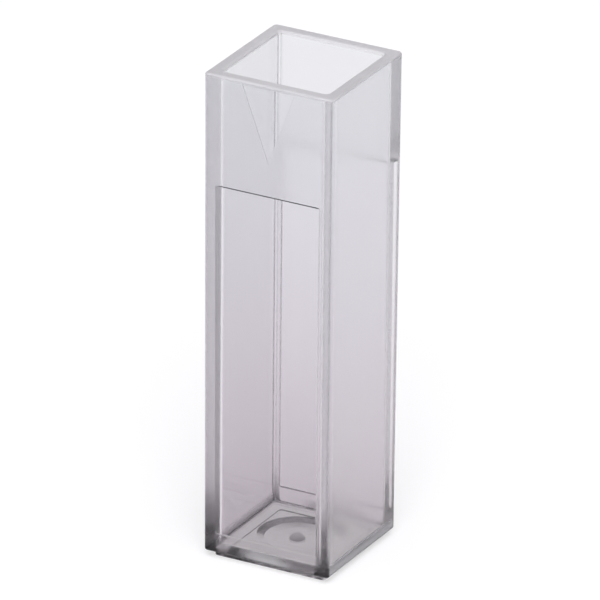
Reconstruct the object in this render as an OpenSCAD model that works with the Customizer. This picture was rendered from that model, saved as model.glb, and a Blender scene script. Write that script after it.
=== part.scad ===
// Square measuring cuvette for one-time use, moulded in one piece of clear polystyrene.
// Millimetres, +Z up, origin at the centre of the underside.
// The light path runs along Y, through the two recessed windows.

/* [Outside] */
// Outside width at the rim, the same both ways
rim_w = 12.4; // [12.2:0.05:12.7]
// Outside width at the lower end, narrower so that the part leaves its mould
base_w = 12.1; // [11.9:0.05:12.2]
// Height from the plinth's underside to the rim
height = 45; // [38:0.5:60]
// Rounding of the four upright outer edges
edge_r = 0.3; // [0.15:0.05:0.5]
// Rounding of the rim's outer edge
rim_r = 0.2; // [0.1:0.05:0.3]
// Rounding of the outer edge round the lower end
heel_r = 0.15; // [0.05:0.05:0.25]

/* [Plinth] */
// Height of the plinth that the cuvette stands on
plinth_h = 0.55; // [0.3:0.05:0.7]
// How far the plinth stands back from the outside, all round
plinth_inset = 0.65; // [0.4:0.05:0.9]
// Rounding of the plinth's upright edges
plinth_r = 0.4; // [0.2:0.05:0.8]
// Width of the hollow under the floor, across the side walls
hollow_w = 8.1; // [7.6:0.1:9]
// Length of the hollow under the floor, along the light path
hollow_len = 8.6; // [7.6:0.1:9.2]
// Depth of the hollow under the floor
hollow_d = 0.1; // [0.05:0.05:0.3]
// Rounding of the hollow's upright edges
hollow_r = 0.25; // [0.1:0.05:0.6]

/* [Chamber] */
// Light path at the floor, between the inner faces of the two windows
path_len = 10; // [9.8:0.05:10.2]
// How much longer the path is at the rim than at the floor
path_draft = 0.1; // [0:0.05:0.2]
// Inside width between the side walls, at the floor
chamber_w = 10; // [9.6:0.05:10.1]
// How much wider the chamber is at the rim than at the floor
chamber_draft = 0.1; // [0:0.05:0.2]
// Rounding of the chamber's upright edges
chamber_r = 0.5; // [0.2:0.05:0.8]
// Rounding between the walls and the floor
cove_r = 0.2; // [0.05:0.05:0.4]
// Rounding of the rim's inner edge
mouth_r = 0.3; // [0.1:0.05:0.4]
// Thickness of the floor above the hollow
floor_t = 1.05; // [0.9:0.05:1.5]

/* [Floor dish] */
// Diameter of the round dish in the chamber floor
dish_dia = 7; // [6:0.1:8]
// Width of the sloping rim round the dish
dish_rim = 0.65; // [0.4:0.05:0.9]
// Depth of the dish at the foot of its sloping rim
dish_step = 0.27; // [0.15:0.01:0.35]
// How much deeper the dish is at its centre than at the foot of its rim
dish_sag = 0.18; // [0.05:0.01:0.2]
// Diameter of the gate mark in the middle of the dish
gate_dia = 1.4; // [1:0.1:2.4]
// Height of the gate mark above the lowest point of the dish
gate_rise = 0.5; // [0.2:0.05:0.5]

/* [Windows] */
// Width of the flat of each window
window_w = 9.4; // [8:0.1:9.6]
// Depth of the recess below the outside width at the lower end
window_d = 0.25; // [0.15:0.05:0.35]
// Height of the recess's lower edge above the plinth's underside
window_low = 2.3; // [1.8:0.1:6]
// Height of the plain band between the recess and the rim
window_gap = 10.2; // [8:0.1:16]
// Angle of the recess's sloping sides to the face of the window
side_slope = 45; // [35:1:60]

/* [Light path mark] */
// Width of the triangle that marks a window side
mark_w = 5; // [3:0.1:8]
// Height of the triangle
mark_h = 6.7; // [4:0.1:7]
// Gap between the triangle and the rim
mark_gap = 0.35; // [0.3:0.05:0.8]
// Depth to which the triangle is cut
mark_d = 0.05; // [0.02:0.01:0.1]

/* [Hidden] */

// Height of the chamber floor at its edge
floor_z = hollow_d + floor_t;
// Distance from the middle to a window's outer face
window_y = base_w / 2 - window_d;
// Height of a window recess
window_h = height - window_gap - window_low;
// Width and length of the chamber at the rim
mouth_w = chamber_w + chamber_draft;
mouth_len = path_len + path_draft;
// Thickness of a plate that gives hull() an outline
skin = 0.001;
// How far a cut runs past the face that it opens
past = 1;
// Angle between the plates that make a rounding
step_a = 22.5;
// Faces round a small corner, round the dish and round the ball that hollows it
corner_fn = 32;
dish_fn = 128;
ball_fn = 512;

// A rectangle with rounded corners, centred
module rounded(w, len, r) {
    square([w - 2 * r, len], center = true);
    square([w, len - 2 * r], center = true);
    for (x = [-1, 1], y = [-1, 1])
        translate([x * (w / 2 - r), y * (len / 2 - r)]) circle(r, $fn = corner_fn);
}

// A thin rounded plate with its underside at height z
module plate(z, w, len, r) {
    translate([0, 0, z]) linear_extrude(skin) rounded(w, len, r);
}

// Outside of the tapered body: rounded round the rim and round its lower end
module outside() {
    hull() {
        for (a = [0 : step_a : 90]) {
            heel_in = 2 * heel_r * (1 - sin(a));
            plate(plinth_h + heel_r * (1 - cos(a)), base_w - heel_in, base_w - heel_in, edge_r);
            rim_in = 2 * rim_r * (1 - cos(a));
            plate(height - skin - rim_r * (1 - sin(a)), rim_w - rim_in, rim_w - rim_in, edge_r);
        }
    }
}

// The low plinth under the body
module plinth() {
    plinth_w = base_w - 2 * plinth_inset;
    linear_extrude(plinth_h + heel_r) rounded(plinth_w, plinth_w, plinth_r);
}

// Shallow hollow under the floor
module hollow() {
    translate([0, 0, -past]) linear_extrude(past + hollow_d) rounded(hollow_w, hollow_len, hollow_r);
}

// Inside of the chamber: a draft on all walls and a cove round the floor
module chamber() {
    hull() {
        for (a = [0 : step_a : 90]) {
            cove_in = 2 * cove_r * (1 - sin(a));
            plate(floor_z + cove_r * (1 - cos(a)), chamber_w - cove_in, path_len - cove_in, chamber_r);
        }
        plate(height, mouth_w, mouth_len, chamber_r);
    }
}

// Rounding of the rim's inner edge, in rings that open upwards
module mouth() {
    for (a = [0 : step_a : 90 - step_a])
        hull()
            for (b = [a, a + step_a]) {
                flare = 2 * mouth_r * (1 - cos(b));
                plate(height - mouth_r * (1 - sin(b)), mouth_w + flare, mouth_len + flare, chamber_r);
            }
}

// Round dish in the floor: a sloping rim round a shallow bowl, with a gate mark left standing in its middle
module dish() {
    edge = dish_dia / 2;
    foot = edge - dish_rim;
    ball = (foot * foot + dish_sag * dish_sag) / (2 * dish_sag);
    translate([0, 0, floor_z - dish_step])
        difference() {
            union() {
                rotate_extrude($fn = dish_fn)
                    polygon([[0, 0], [foot, 0], [edge, dish_step], [edge, dish_step + past], [0, dish_step + past]]);
                intersection() {
                    translate([0, 0, ball - dish_sag]) sphere(ball, $fn = ball_fn);
                    translate([0, 0, -past]) cylinder(r = foot, h = dish_step + past, $fn = dish_fn);
                }
            }
            gate();
        }
}

// The gate mark: a low dome
module gate() {
    dome = (gate_dia * gate_dia / 4 + gate_rise * gate_rise) / (2 * gate_rise);
    translate([0, 0, gate_rise - dish_sag - dome]) sphere(dome, $fn = dish_fn);
}

// The two window recesses, on the faces across the light path, with sloping sides
module windows() {
    half = window_w / 2;
    run = past / tan(side_slope);
    for (side = [0, 180])
        rotate([0, 0, side])
            translate([0, -window_y, window_low])
                linear_extrude(window_h)
                    polygon([[-half, 0], [-half - run, -past], [half + run, -past], [half, 0]]);
}

// Triangle on the front, pointing down at the window
module mark() {
    tip_z = height - mark_gap - mark_h;
    body_top = height - rim_r;
    face_y = base_w / 2 + (rim_w - base_w) / 2 * (tip_z - plinth_h) / (body_top - plinth_h);
    translate([0, mark_d - face_y, tip_z])
        rotate([90, 0, 0])
            linear_extrude(past) polygon([[0, 0], [mark_w / 2, mark_h], [-mark_w / 2, mark_h]]);
}

module cuvette() {
    color([0.86, 0.85, 0.88, 0.6])
        difference() {
            union() {
                outside();
                plinth();
            }
            chamber();
            mouth();
            dish();
            windows();
            hollow();
            mark();
        }
}

cuvette();
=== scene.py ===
"""A clear polystyrene cuvette, standing on a pale floor in soft studio light."""
import math

import bpy
from mathutils import Matrix, Vector


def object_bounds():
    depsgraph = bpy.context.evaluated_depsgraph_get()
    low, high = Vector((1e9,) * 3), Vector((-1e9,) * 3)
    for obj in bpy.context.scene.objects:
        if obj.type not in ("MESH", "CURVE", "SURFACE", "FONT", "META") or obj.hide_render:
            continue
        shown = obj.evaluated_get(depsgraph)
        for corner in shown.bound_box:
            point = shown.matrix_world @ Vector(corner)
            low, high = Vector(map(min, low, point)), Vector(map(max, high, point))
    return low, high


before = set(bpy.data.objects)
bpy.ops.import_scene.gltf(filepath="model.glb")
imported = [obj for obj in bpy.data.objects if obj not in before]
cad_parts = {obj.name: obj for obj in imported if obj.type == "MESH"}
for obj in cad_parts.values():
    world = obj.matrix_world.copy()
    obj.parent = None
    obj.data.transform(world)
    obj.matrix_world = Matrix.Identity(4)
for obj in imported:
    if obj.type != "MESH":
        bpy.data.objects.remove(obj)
cad_low, cad_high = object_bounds()


# ---------------------------------------------------------------- camera
# A long lens a metre away, a little to the right of the window side and above it. The camera is
# aimed by its bearing round the cuvette, its height angle, a slight roll and the point it looks at.
# Lengths are in metres and angles in degrees.
MM = 0.001
CAMERA_AZIMUTH = 28.461
CAMERA_ELEVATION = 23.955
CAMERA_ROLL = 0.533
CAMERA_DISTANCE = 1054.9 * MM
LENS_IN_FRAME_WIDTHS = 20.6327
SENSOR_WIDTH = 36.0
NEAR_LIMIT = 0.01
FAR_LIMIT = 20.0
AIM_HEIGHT = 22.5 * MM
AIM_RIGHT = -0.126 * MM
AIM_UP = 0.427 * MM


def bearing(azimuth, elevation):
    """The direction from the cuvette to something at that bearing and height angle, in degrees."""
    turn, rise = math.radians(azimuth), math.radians(elevation)
    level = math.cos(rise)
    return Vector((math.sin(turn) * level, -math.cos(turn) * level, math.sin(rise)))


def aimed(back, roll):
    """Right and up of something that faces against back, rolled about its line of sight."""
    level = (-back).cross(Vector((0, 0, 1))).normalized()
    upright = level.cross(-back)
    turn = math.radians(roll)
    right = level * math.cos(turn) + upright * math.sin(turn)
    up = upright * math.cos(turn) - level * math.sin(turn)
    return right, up


def placed(right, up, back, place):
    """The matrix of something at a place, with those axes."""
    return Matrix.Translation(place) @ Matrix((right, up, back)).transposed().to_4x4()


back = bearing(CAMERA_AZIMUTH, CAMERA_ELEVATION)
right, up = aimed(back, CAMERA_ROLL)
target = Vector((0, 0, AIM_HEIGHT)) + right * AIM_RIGHT + up * AIM_UP
lens = bpy.data.cameras.new("camera")
lens.lens = LENS_IN_FRAME_WIDTHS * SENSOR_WIDTH
lens.sensor_width = SENSOR_WIDTH
lens.clip_start = NEAR_LIMIT
lens.clip_end = FAR_LIMIT
camera = bpy.data.objects.new("camera", lens)
camera.matrix_world = placed(right, up, back, target + back * CAMERA_DISTANCE)
bpy.context.scene.collection.objects.link(camera)
bpy.context.scene.camera = camera


# ---------------------------------------------------------------- floor and surroundings
# A sheet of pale matt card on the bench. The room is white at the level of the bench, dark in a
# wide ring above it, which the corners at the base pick up, and grey overhead.
FLOOR_SIZE = 6.0
FLOOR_GAP = 0.02 * MM
FLOOR_COLOUR = "#AFAEB1"
# Fibres of about 0.1 mm are too fine to show, so the card's grain is drawn ten times as coarse.
CARD_GRAIN = 1.1 * MM
CARD_RELIEF = 0.05 * MM
CARD_BUMP = 0.05
CARD_ROUGHNESS = 0.5
# How many finer patterns are laid over each noise pattern
NOISE_DETAIL = 2.0
BACKGROUND_COLOUR = "#FFFFFF"
FLOOR_LIFT = 0.60
RING_COLOUR = "#080808"
CEILING_COLOUR = "#A9A8AB"
# Height angles between which the ring begins, and between which it ends
RING_BOTTOM = (2.5, 6.0)
RING_TOP = (50.0, 62.0)


def linear(hex_colour):
    """An sRGB hex colour as linear RGBA."""
    parts = [int(hex_colour[i:i + 2], 16) / 255 for i in (1, 3, 5)]
    rgb = [c / 12.92 if c <= 0.04045 else ((c + 0.055) / 1.055) ** 2.4 for c in parts]
    return (*rgb, 1.0)


def add(tree, kind, settings=None, links=None, **attributes):
    """Adds a node, sets its attributes and inputs, and links inputs from other nodes' outputs."""
    node = tree.nodes.new(kind)
    for name, value in attributes.items():
        setattr(node, name, value)
    for socket, value in (settings or {}).items():
        node.inputs[socket].default_value = value
    for socket, source in (links or {}).items():
        tree.links.new(source, node.inputs[socket])
    return node


def fresh_tree(holder):
    """The emptied node tree of a material or world."""
    holder.use_nodes = True
    holder.node_tree.nodes.clear()
    return holder.node_tree


def seen(tree):
    """1 for a ray from the camera, a reflection or a refraction, and 0 for a ray that lights."""
    path = add(tree, "ShaderNodeLightPath")
    straight = add(tree, "ShaderNodeMath",
                   links={0: path.outputs["Is Camera Ray"], 1: path.outputs["Is Glossy Ray"]},
                   operation="ADD")
    return add(tree, "ShaderNodeMath",
               links={0: straight.outputs[0], 1: path.outputs["Is Transmission Ray"]},
               operation="ADD", use_clamp=True)


def floor_material():
    """Matt card, lifted to white where it is seen, with the shadow kept."""
    material = bpy.data.materials.new("pale matt card")
    tree = fresh_tree(material)
    grain = add(tree, "ShaderNodeTexNoise", {"Scale": 1 / CARD_GRAIN, "Detail": NOISE_DETAIL},
                {"Vector": add(tree, "ShaderNodeTexCoord").outputs["Object"]})
    bump = add(tree, "ShaderNodeBump", {"Strength": CARD_BUMP, "Distance": CARD_RELIEF},
               {"Height": grain.outputs[0]})
    card = add(tree, "ShaderNodeBsdfDiffuse",
               {"Color": linear(FLOOR_COLOUR), "Roughness": CARD_ROUGHNESS},
               {"Normal": bump.outputs[0]})
    lift = add(tree, "ShaderNodeMath", {1: FLOOR_LIFT}, {0: seen(tree).outputs[0]},
               operation="MULTIPLY")
    glow = add(tree, "ShaderNodeEmission", {"Color": linear(BACKGROUND_COLOUR)},
               {"Strength": lift.outputs[0]})
    both = add(tree, "ShaderNodeAddShader", links={0: card.outputs[0], 1: glow.outputs[0]})
    add(tree, "ShaderNodeOutputMaterial", links={"Surface": both.outputs[0]})
    return material


bpy.ops.object.select_all(action="DESELECT")
bpy.ops.mesh.primitive_plane_add(size=FLOOR_SIZE, location=(0, 0, -FLOOR_GAP))
floor = bpy.context.object
floor.name = "floor"
floor.data.materials.append(floor_material())


# A Mix node's inputs are 0 for its factor, 2 and 3 for numbers, 4 and 5 for vectors and 6 and 7 for
# colours, and its outputs are 0, 1 and 2 in the same order.
def room_world():
    """White round the horizon, a dark ring above it and a grey ceiling."""
    world = bpy.data.worlds.new("room")
    tree = fresh_tree(world)
    direction = add(tree, "ShaderNodeTexCoord").outputs["Generated"]
    rise = add(tree, "ShaderNodeSeparateXYZ", links={0: direction}).outputs["Z"]
    bottom, top = [[math.sin(math.radians(a)) for a in edge] for edge in (RING_BOTTOM, RING_TOP)]
    into_ring = add(tree, "ShaderNodeMapRange", {"From Min": bottom[0], "From Max": bottom[1]},
                    {"Value": rise}, interpolation_type="SMOOTHSTEP")
    out_of_ring = add(tree, "ShaderNodeMapRange", {"From Min": top[0], "From Max": top[1]},
                      {"Value": rise}, interpolation_type="SMOOTHSTEP")
    ring = add(tree, "ShaderNodeMix", {6: linear(BACKGROUND_COLOUR), 7: linear(RING_COLOUR)},
               {0: into_ring.outputs[0]}, data_type="RGBA")
    room = add(tree, "ShaderNodeMix", {7: linear(CEILING_COLOUR)},
               {0: out_of_ring.outputs[0], 6: ring.outputs[2]}, data_type="RGBA")
    glow = add(tree, "ShaderNodeBackground", links={"Color": room.outputs[2]})
    add(tree, "ShaderNodeOutputWorld", links={"Surface": glow.outputs[0]})
    return world


bpy.context.scene.world = room_world()
bpy.context.scene.view_settings.view_transform = "Standard"

# Light is guided along the clear walls by many reflections before it leaves them.
BOUNCES = 24
bpy.context.scene.cycles.max_bounces = BOUNCES
bpy.context.scene.cycles.glossy_bounces = BOUNCES
bpy.context.scene.cycles.transmission_bounces = BOUNCES


# ---------------------------------------------------------------- lamps
# Two soft boxes on the camera's side: a wide one almost overhead, and a smaller, weaker one halfway
# down. They light the cuvette evenly, and its shadow stays close round the base.
def softbox(name, azimuth, elevation, distance, size, power):
    """A square soft box that faces the middle of the cuvette."""
    lamp = bpy.data.lights.new(name, "AREA")
    lamp.shape = "SQUARE"
    lamp.size = size
    lamp.energy = power
    away = bearing(azimuth, elevation)
    holder = bpy.data.objects.new(name, lamp)
    middle = Vector((0, 0, AIM_HEIGHT))
    holder.matrix_world = placed(*aimed(away, 0), away, middle + away * distance)
    bpy.context.scene.collection.objects.link(holder)


# Bearing, height angle, distance, width, and power in watts
OVERHEAD = (28, 76, 0.9, 1.0, 8.0)
FRONT = (28, 40, 0.9, 0.5, 3.0)
softbox("overhead softbox", *OVERHEAD)
softbox("front softbox", *FRONT)


# ---------------------------------------------------------------- cuvette
# One injection moulding of clear, unfilled polystyrene, the plastic of one-time laboratory ware.
# The mould is polished for the chamber and windows and fine-blasted for the rest of the outside.
# The rim, the foot of the walls and the gate mark are whitish, and the heel and lower corners
# are darkened with painted shade.
PLASTIC_IOR = 1.59
SHEEN_COLOUR = "#9C9C9C"

# Weak lilac-grey tint of the plastic, in clouds nearly as wide as the body where the melt
# flowed, with painted shade that makes it darker towards the foot
LOW_COLOUR = "#E6E0E5"
HIGH_COLOUR = "#F0F1F3"
FLOW_SHARE = 0.25
FLOW_WIDTH = 11.0 * MM
FLOW_STRETCH = 0.35
# The floor of the chamber and the underside have no tint of their own
FLOOR_TINT = "#FFFFFF"
# Tint that grows with the depth of plastic that the light has passed
DEPTH_COLOUR = "#D3D0D6"
DEPTH_PER_METRE = 45.0

# Polish, and the frost of the blasted mould. Its grains of about 0.03 mm are too fine to show, so
# they are drawn ten times as coarse.
WINDOW_ROUGHNESS = 0.02
FLOOR_ROUGHNESS = 0.12
FROST_ROUGHNESS = 0.25
FROST_SPREAD = 0.1
FROST_GRAIN = 0.33 * MM

# Whitening, as a thin layer of haze: of the rim, of the gate mark in the middle of the floor, and
# of the foot of the side walls and the bars under the windows, up to a height and out to a width.
# The gate mark is also shaded as if it faced straight up.
HAZE_COLOUR = "#F2F0F4"
HAZE_THROUGH = 0.2
RIM_HAZE = 0.6
RIM_DEPTHS = (0.35 * MM, 0.1 * MM)
GATE_HAZE = 0.6
GATE_RADIUS = 0.72 * MM
GATE_FACING = (0.0, 0.0, 1.0)
FOOT_HAZE = 0.85
FOOT_HEIGHTS = (1.0 * MM, 1.8 * MM)
FOOT_MIDDLE = (0.5 * MM, 3.0 * MM)

# Painted shade: a dark heel all round, which climbs at the corners of the two window sides
HEEL_SHADE_COLOUR = "#161518"
HEEL_RISE = 0.3 * MM
CORNER_RISE = 3.7 * MM
CORNER_EDGES = (4.6 * MM, 5.1 * MM)

# Where the faces of the moulding lie, by which each finish finds its place
HEEL_HEIGHT = 0.55 * MM
OUTSIDE_AT_HEEL = 12.1 * MM
RIM_ROUNDING = 0.2 * MM
WINDOW_FLAT = 5.82 * MM
WINDOW_TOP = 34.8 * MM
WALL_MIDDLE = 5.7 * MM
CHAMBER_HALF = 4.95 * MM
CHAMBER_FLOOR = 1.4 * MM
FACE_MARGIN = 0.03 * MM


def clear_polystyrene():
    """Clear polystyrene, polished or frosted by the mould, with white haze and painted dark shade
    at the edges.
    """
    material = bpy.data.materials.new("moulded clear polystyrene")
    tree = fresh_tree(material)
    place = add(tree, "ShaderNodeTexCoord").outputs["Object"]
    xyz = add(tree, "ShaderNodeSeparateXYZ", links={0: place})
    across = add(tree, "ShaderNodeMath", links={0: xyz.outputs["X"]}, operation="ABSOLUTE")
    along = add(tree, "ShaderNodeMath", links={0: xyz.outputs["Y"]}, operation="ABSOLUTE")

    # The outer faces, but not the windows or the plinth, are frosted
    outside = add(tree, "ShaderNodeMapRange",
                  {"From Min": HEEL_HEIGHT, "From Max": cad_high.z - RIM_ROUNDING,
                   "To Min": OUTSIDE_AT_HEEL / 2 - FACE_MARGIN, "To Max": cad_high.x - FACE_MARGIN},
                  {"Value": xyz.outputs["Z"]})
    side = add(tree, "ShaderNodeMath", links={0: across.outputs[0], 1: outside.outputs[0]},
               operation="GREATER_THAN")
    band = add(tree, "ShaderNodeMath", {1: WINDOW_TOP + FACE_MARGIN}, {0: xyz.outputs["Z"]},
               operation="GREATER_THAN")
    limit = add(tree, "ShaderNodeMix", {2: WINDOW_FLAT},
                {0: band.outputs[0], 3: outside.outputs[0]})
    flank = add(tree, "ShaderNodeMath", links={0: along.outputs[0], 1: limit.outputs[0]},
                operation="GREATER_THAN")
    outer = add(tree, "ShaderNodeMath", links={0: side.outputs[0], 1: flank.outputs[0]},
                operation="MAXIMUM")
    raised = add(tree, "ShaderNodeMath", {1: HEEL_HEIGHT + FACE_MARGIN}, {0: xyz.outputs["Z"]},
                 operation="GREATER_THAN")
    frosted = add(tree, "ShaderNodeMath", links={0: outer.outputs[0], 1: raised.outputs[0]},
                  operation="MULTIPLY")
    grain = add(tree, "ShaderNodeTexNoise", {"Scale": 1 / FROST_GRAIN, "Detail": NOISE_DETAIL},
                {"Vector": place})
    spread = add(tree, "ShaderNodeMapRange",
                 {"To Min": FROST_ROUGHNESS * (1 - FROST_SPREAD),
                  "To Max": FROST_ROUGHNESS * (1 + FROST_SPREAD)}, {"Value": grain.outputs[0]})
    frost = add(tree, "ShaderNodeMath", links={0: frosted.outputs[0], 1: spread.outputs[0]},
                operation="MULTIPLY")

    # The floor of the chamber and the underside are finely matt
    widest = add(tree, "ShaderNodeMath", links={0: across.outputs[0], 1: along.outputs[0]},
                 operation="MAXIMUM")
    inner = add(tree, "ShaderNodeMath", {1: CHAMBER_HALF}, {0: widest.outputs[0]},
                operation="LESS_THAN")
    low = add(tree, "ShaderNodeMath", {1: CHAMBER_FLOOR}, {0: xyz.outputs["Z"]},
              operation="LESS_THAN")
    base = add(tree, "ShaderNodeMath", links={0: inner.outputs[0], 1: low.outputs[0]},
               operation="MULTIPLY")
    matt_base = add(tree, "ShaderNodeMath", {1: FLOOR_ROUGHNESS}, {0: base.outputs[0]},
                    operation="MULTIPLY")
    matt = add(tree, "ShaderNodeMath", links={0: frost.outputs[0], 1: matt_base.outputs[0]},
               operation="MAXIMUM")
    rough = add(tree, "ShaderNodeMath", {1: WINDOW_ROUGHNESS}, {0: matt.outputs[0]},
                operation="MAXIMUM")

    # The tint of the plastic and the clouds of the flow, mixed by height, where painted shade makes
    # it darker towards the foot
    stretched = add(tree, "ShaderNodeMapping", {"Scale": (1.0, 1.0, FLOW_STRETCH)},
                    {"Vector": place})
    flow = add(tree, "ShaderNodeTexNoise", {"Scale": 1 / FLOW_WIDTH, "Detail": NOISE_DETAIL},
               {"Vector": stretched.outputs[0]})
    height = add(tree, "ShaderNodeMapRange",
                 {"From Min": cad_low.z, "From Max": cad_high.z,
                  "To Min": -FLOW_SHARE / 2, "To Max": 1 - FLOW_SHARE / 2},
                 {"Value": xyz.outputs["Z"]}, clamp=False)
    mixed = add(tree, "ShaderNodeMath", {1: FLOW_SHARE}, {0: flow.outputs[0], 2: height.outputs[0]},
                operation="MULTIPLY_ADD", use_clamp=True)
    tint_and_shade = add(tree, "ShaderNodeMix", {6: linear(LOW_COLOUR), 7: linear(HIGH_COLOUR)},
               {0: mixed.outputs[0]}, data_type="RGBA")
    body = add(tree, "ShaderNodeMix", {7: linear(FLOOR_TINT)},
               {0: base.outputs[0], 6: tint_and_shade.outputs[2]}, data_type="RGBA")

    # Painted shade on the heel and the lower corners
    out_there = add(tree, "ShaderNodeMath", {1: WALL_MIDDLE}, {0: widest.outputs[0]},
                    operation="GREATER_THAN")
    window_side = add(tree, "ShaderNodeMath", {1: WALL_MIDDLE}, {0: along.outputs[0]},
                      operation="GREATER_THAN")
    corner = add(tree, "ShaderNodeMapRange",
                 {"From Min": CORNER_EDGES[0], "From Max": CORNER_EDGES[1], "To Max": CORNER_RISE},
                 {"Value": across.outputs[0]}, interpolation_type="SMOOTHSTEP")
    dark_top = add(tree, "ShaderNodeMath", {2: HEEL_HEIGHT + HEEL_RISE},
                   {0: corner.outputs[0], 1: window_side.outputs[0]}, operation="MULTIPLY_ADD")
    dark = add(tree, "ShaderNodeMapRange", {"From Min": HEEL_HEIGHT, "To Min": 1.0, "To Max": 0.0},
               {"Value": xyz.outputs["Z"], "From Max": dark_top.outputs[0]},
               interpolation_type="SMOOTHSTEP")
    heel_shade = add(tree, "ShaderNodeMath", links={0: dark.outputs[0], 1: out_there.outputs[0]},
               operation="MULTIPLY")
    colour = add(tree, "ShaderNodeMix", {7: linear(HEEL_SHADE_COLOUR)},
                 {0: heel_shade.outputs[0], 6: body.outputs[2]}, data_type="RGBA")

    # The gate mark, shaded as if it were flat, so that it shows light
    plan = add(tree, "ShaderNodeCombineXYZ", links={"X": xyz.outputs["X"], "Y": xyz.outputs["Y"]})
    reach = add(tree, "ShaderNodeVectorMath", links={0: plan.outputs[0]}, operation="LENGTH")
    near = add(tree, "ShaderNodeMath", {1: GATE_RADIUS}, {0: reach.outputs["Value"]},
               operation="LESS_THAN")
    gate = add(tree, "ShaderNodeMath", links={0: near.outputs[0], 1: base.outputs[0]},
               operation="MULTIPLY")
    true_normal = add(tree, "ShaderNodeNewGeometry").outputs["Normal"]
    normal = add(tree, "ShaderNodeMix", {5: GATE_FACING}, {0: gate.outputs[0], 4: true_normal},
                 data_type="VECTOR")
    clear = add(tree, "ShaderNodeBsdfPrincipled",
                {"IOR": PLASTIC_IOR, "Transmission Weight": 1.0,
                 "Specular Tint": linear(SHEEN_COLOUR)},
                {"Base Color": colour.outputs[2], "Roughness": rough.outputs[0],
                 "Normal": normal.outputs[1]})

    # The white haze of the rim, the foot and the gate mark
    rim = add(tree, "ShaderNodeMapRange",
              {"From Min": cad_high.z - RIM_DEPTHS[0], "From Max": cad_high.z - RIM_DEPTHS[1],
               "To Max": RIM_HAZE}, {"Value": xyz.outputs["Z"]})
    foot = add(tree, "ShaderNodeMapRange",
               {"From Min": FOOT_HEIGHTS[0], "From Max": FOOT_HEIGHTS[1], "To Min": FOOT_HAZE,
                "To Max": 0.0}, {"Value": xyz.outputs["Z"]})
    middle = add(tree, "ShaderNodeMapRange",
                 {"From Min": FOOT_MIDDLE[0], "From Max": FOOT_MIDDLE[1], "To Min": 1.0,
                  "To Max": 0.0}, {"Value": across.outputs[0]}, interpolation_type="SMOOTHSTEP")
    under_window = add(tree, "ShaderNodeMath", links={0: middle.outputs[0], 1: flank.outputs[0]},
                       operation="MULTIPLY")
    hazy = add(tree, "ShaderNodeMath", links={0: side.outputs[0], 1: under_window.outputs[0]},
               operation="MAXIMUM")
    foot_haze = add(tree, "ShaderNodeMath", links={0: foot.outputs[0], 1: hazy.outputs[0]},
                    operation="MULTIPLY")
    lit = add(tree, "ShaderNodeMath", {0: 1.0}, {1: heel_shade.outputs[0]}, operation="SUBTRACT")
    low_haze = add(tree, "ShaderNodeMath", links={0: foot_haze.outputs[0], 1: lit.outputs[0]},
                   operation="MULTIPLY")
    gate_haze = add(tree, "ShaderNodeMath", {1: GATE_HAZE}, {0: gate.outputs[0]},
                    operation="MULTIPLY")
    lower = add(tree, "ShaderNodeMath", links={0: low_haze.outputs[0], 1: gate_haze.outputs[0]},
                operation="MAXIMUM")
    amount = add(tree, "ShaderNodeMath", links={0: rim.outputs[0], 1: lower.outputs[0]},
                 operation="MAXIMUM")
    front = add(tree, "ShaderNodeBsdfDiffuse", {"Color": linear(HAZE_COLOUR)})
    through = add(tree, "ShaderNodeBsdfTranslucent", {"Color": linear(HAZE_COLOUR)})
    let_in = add(tree, "ShaderNodeMath", {1: HAZE_THROUGH}, {0: gate.outputs[0]},
                 operation="MAXIMUM")
    haze = add(tree, "ShaderNodeMixShader",
               links={0: let_in.outputs[0], 1: front.outputs[0], 2: through.outputs[0]})

    surface = add(tree, "ShaderNodeMixShader",
                  links={0: amount.outputs[0], 1: clear.outputs[0], 2: haze.outputs[0]})
    depth = add(tree, "ShaderNodeVolumeAbsorption",
                {"Color": linear(DEPTH_COLOUR), "Density": DEPTH_PER_METRE})
    add(tree, "ShaderNodeOutputMaterial",
        links={"Surface": surface.outputs[0], "Volume": depth.outputs[0]})
    return material


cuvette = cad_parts["cuvette"]
cuvette.data.materials.clear()
cuvette.data.materials.append(clear_polystyrene())
